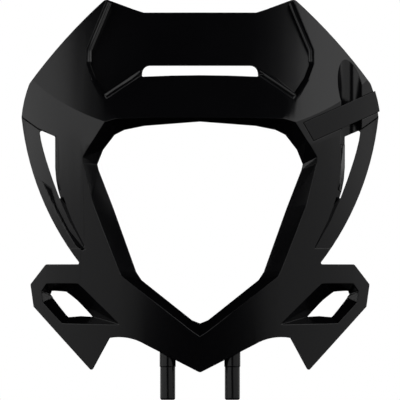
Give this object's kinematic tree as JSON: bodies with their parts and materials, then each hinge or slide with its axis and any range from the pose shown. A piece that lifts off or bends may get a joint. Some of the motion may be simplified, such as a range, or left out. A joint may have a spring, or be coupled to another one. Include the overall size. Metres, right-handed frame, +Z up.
{
  "type": "motorcycle headlight mask",
  "caption": "Moulded black shell that frames a motorcycle headlight, with side wings, lower pegs and a brake hose clip.",
  "frame": {"origin": "midway between the axes of the two lower pegs, level with the tip of the chin", "axes": "+X towards the viewer's right, front faces -Y, +Z up towards the number panel"},
  "size_m": [0.2869, 0.091, 0.32],
  "materials": {
    "shell_plastic": "satin moulded black polypropylene",
    "clip_plastic": "satin moulded black polypropylene"
  },
  "bodies": {
    "root": {"mask_shell": "shell_plastic", "hose_clip": "clip_plastic"}
  },
  "joints": []
}
